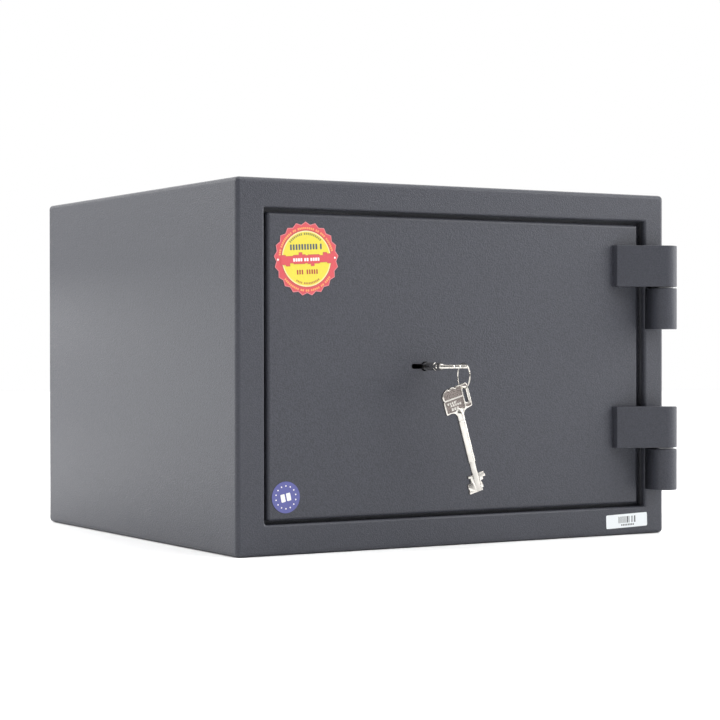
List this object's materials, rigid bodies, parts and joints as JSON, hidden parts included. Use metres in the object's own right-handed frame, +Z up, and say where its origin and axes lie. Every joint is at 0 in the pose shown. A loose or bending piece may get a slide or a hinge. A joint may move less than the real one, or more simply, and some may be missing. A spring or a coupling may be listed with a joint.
{
  "type": "key lock safe",
  "caption": "Small free-standing fire-resistant safe with a thick-walled cabinet, recessed hinged door, sliding bolts and a double-bitted key.",
  "frame": {"origin": "centre of the cabinet's bottom face", "axes": "+Z up; the door faces -Y and its hinges are on the +X side"},
  "size_m": [0.4469, 0.4603, 0.313],
  "materials": {
    "powder_coat": "graphite grey textured powder coat",
    "interior_coat": "light grey satin paint",
    "barrier": "cast barrier concrete",
    "zinc_steel": "zinc plated",
    "hard_steel": "hardened steel",
    "nickel": "bright nickel plate",
    "brass": "stamped brass",
    "plug_plastic": "black plastic",
    "fire_seal": "intumescent strip",
    "label_paper": "white adhesive label",
    "red_foil": "printed gloss foil",
    "blue_foil": "printed gloss foil"
  },
  "bodies": {
    "cabinet": {"outer_shell": "powder_coat", "rear_panel": "powder_coat", "door_stop_frame": "powder_coat", "bolt_channel": "powder_coat", "strike_bar": "zinc_steel", "body_barrier_fill": "barrier", "inner_liner": "interior_coat", "shelf": "interior_coat", "shelf_bracket_left": "interior_coat", "shelf_bracket_right": "interior_coat", "base_anchor_sleeve_left": "zinc_steel", "base_anchor_sleeve_right": "zinc_steel", "rear_anchor_sleeve_left": "zinc_steel", "rear_anchor_sleeve_right": "zinc_steel", "base_anchor_plug_left": "plug_plastic", "base_anchor_plug_right": "plug_plastic", "rear_anchor_plug_left": "plug_plastic", "rear_anchor_plug_right": "plug_plastic", "hinge_knuckle_lower": "powder_coat", "hinge_knuckle_upper": "powder_coat", "hinge_pin_lower": "zinc_steel", "hinge_pin_upper": "zinc_steel", "thrust_washer_lower": "hard_steel", "thrust_washer_upper": "hard_steel", "frame_label": "label_paper"},
    "door": {"door_plate": "powder_coat", "door_pan": "powder_coat", "door_barrier_fill": "barrier", "hard_plate": "hard_steel", "key_guide_tube": "zinc_steel", "door_rear_cover": "powder_coat", "cover_screw_1": "zinc_steel", "cover_screw_2": "zinc_steel", "cover_screw_3": "zinc_steel", "cover_screw_4": "zinc_steel", "fire_seal_strip": "fire_seal", "hinge_side_locking_bar": "zinc_steel", "bolt_guide_plate": "zinc_steel", "rating_sticker": "red_foil", "round_sticker": "blue_foil", "lock_case": "zinc_steel", "lock_cover": "zinc_steel", "lever_pivot_post": "hard_steel", "hinge_leaf_lower": "powder_coat", "hinge_leaf_upper": "powder_coat"},
    "boltwork": {"bolt_carriage": "zinc_steel", "bolt_lower": "nickel", "bolt_middle": "nickel", "bolt_upper": "nickel", "lock_bolt": "zinc_steel"},
    "lever_pack": {"lever_1": "brass", "lever_2": "brass", "lever_3": "brass", "lever_4": "brass"},
    "rotor": {"key_rotor": "hard_steel"},
    "key": {"inserted_key": "nickel"},
    "ring": {"key_ring": "nickel"},
    "spare": {"spare_key": "nickel"}
  },
  "joints": [
    {"name": "door_hinge", "type": "hinge", "parent": "cabinet", "child": "door", "pos_m": [0.2124, -0.2151, 0], "axis": [0, 0, 1], "range_deg": [0, 180]},
    {"name": "bolt_throw", "type": "slide", "parent": "door", "child": "boltwork", "axis": [-1, 0, 0], "range_m": [0, 0.022]},
    {"name": "lever_lift", "type": "hinge", "parent": "door", "child": "lever_pack", "pos_m": [-0.08, -0.1739, 0.178], "axis": [0, 1, 0], "range_deg": [0, 3], "stiffness_Nm_per_rad": 0.5},
    {"name": "key_turn", "type": "hinge", "parent": "door", "child": "rotor", "pos_m": [-0.038, -0.1995, 0.156], "axis": [0, 1, 0], "range_deg": [0, 180]},
    {"name": "key_withdraw", "type": "slide", "parent": "rotor", "child": "key", "axis": [0, -1, 0], "range_m": [0, 0.06]},
    {"name": "ring_swing", "type": "hinge", "parent": "key", "child": "ring", "pos_m": [-0.029, -0.2462, 0.156], "axis": [0.9962, -0.0872, 0], "range_deg": [-75, 15]},
    {"name": "spare_key_swing", "type": "hinge", "parent": "ring", "child": "spare", "pos_m": [-0.029, -0.2462, 0.13725], "axis": [0, 1, 0], "range_deg": [-40, 40]}
  ],
  "couplings": [
    {"joint": "key_turn", "follows": "bolt_throw", "rad_per_m": 142.8}
  ]
}
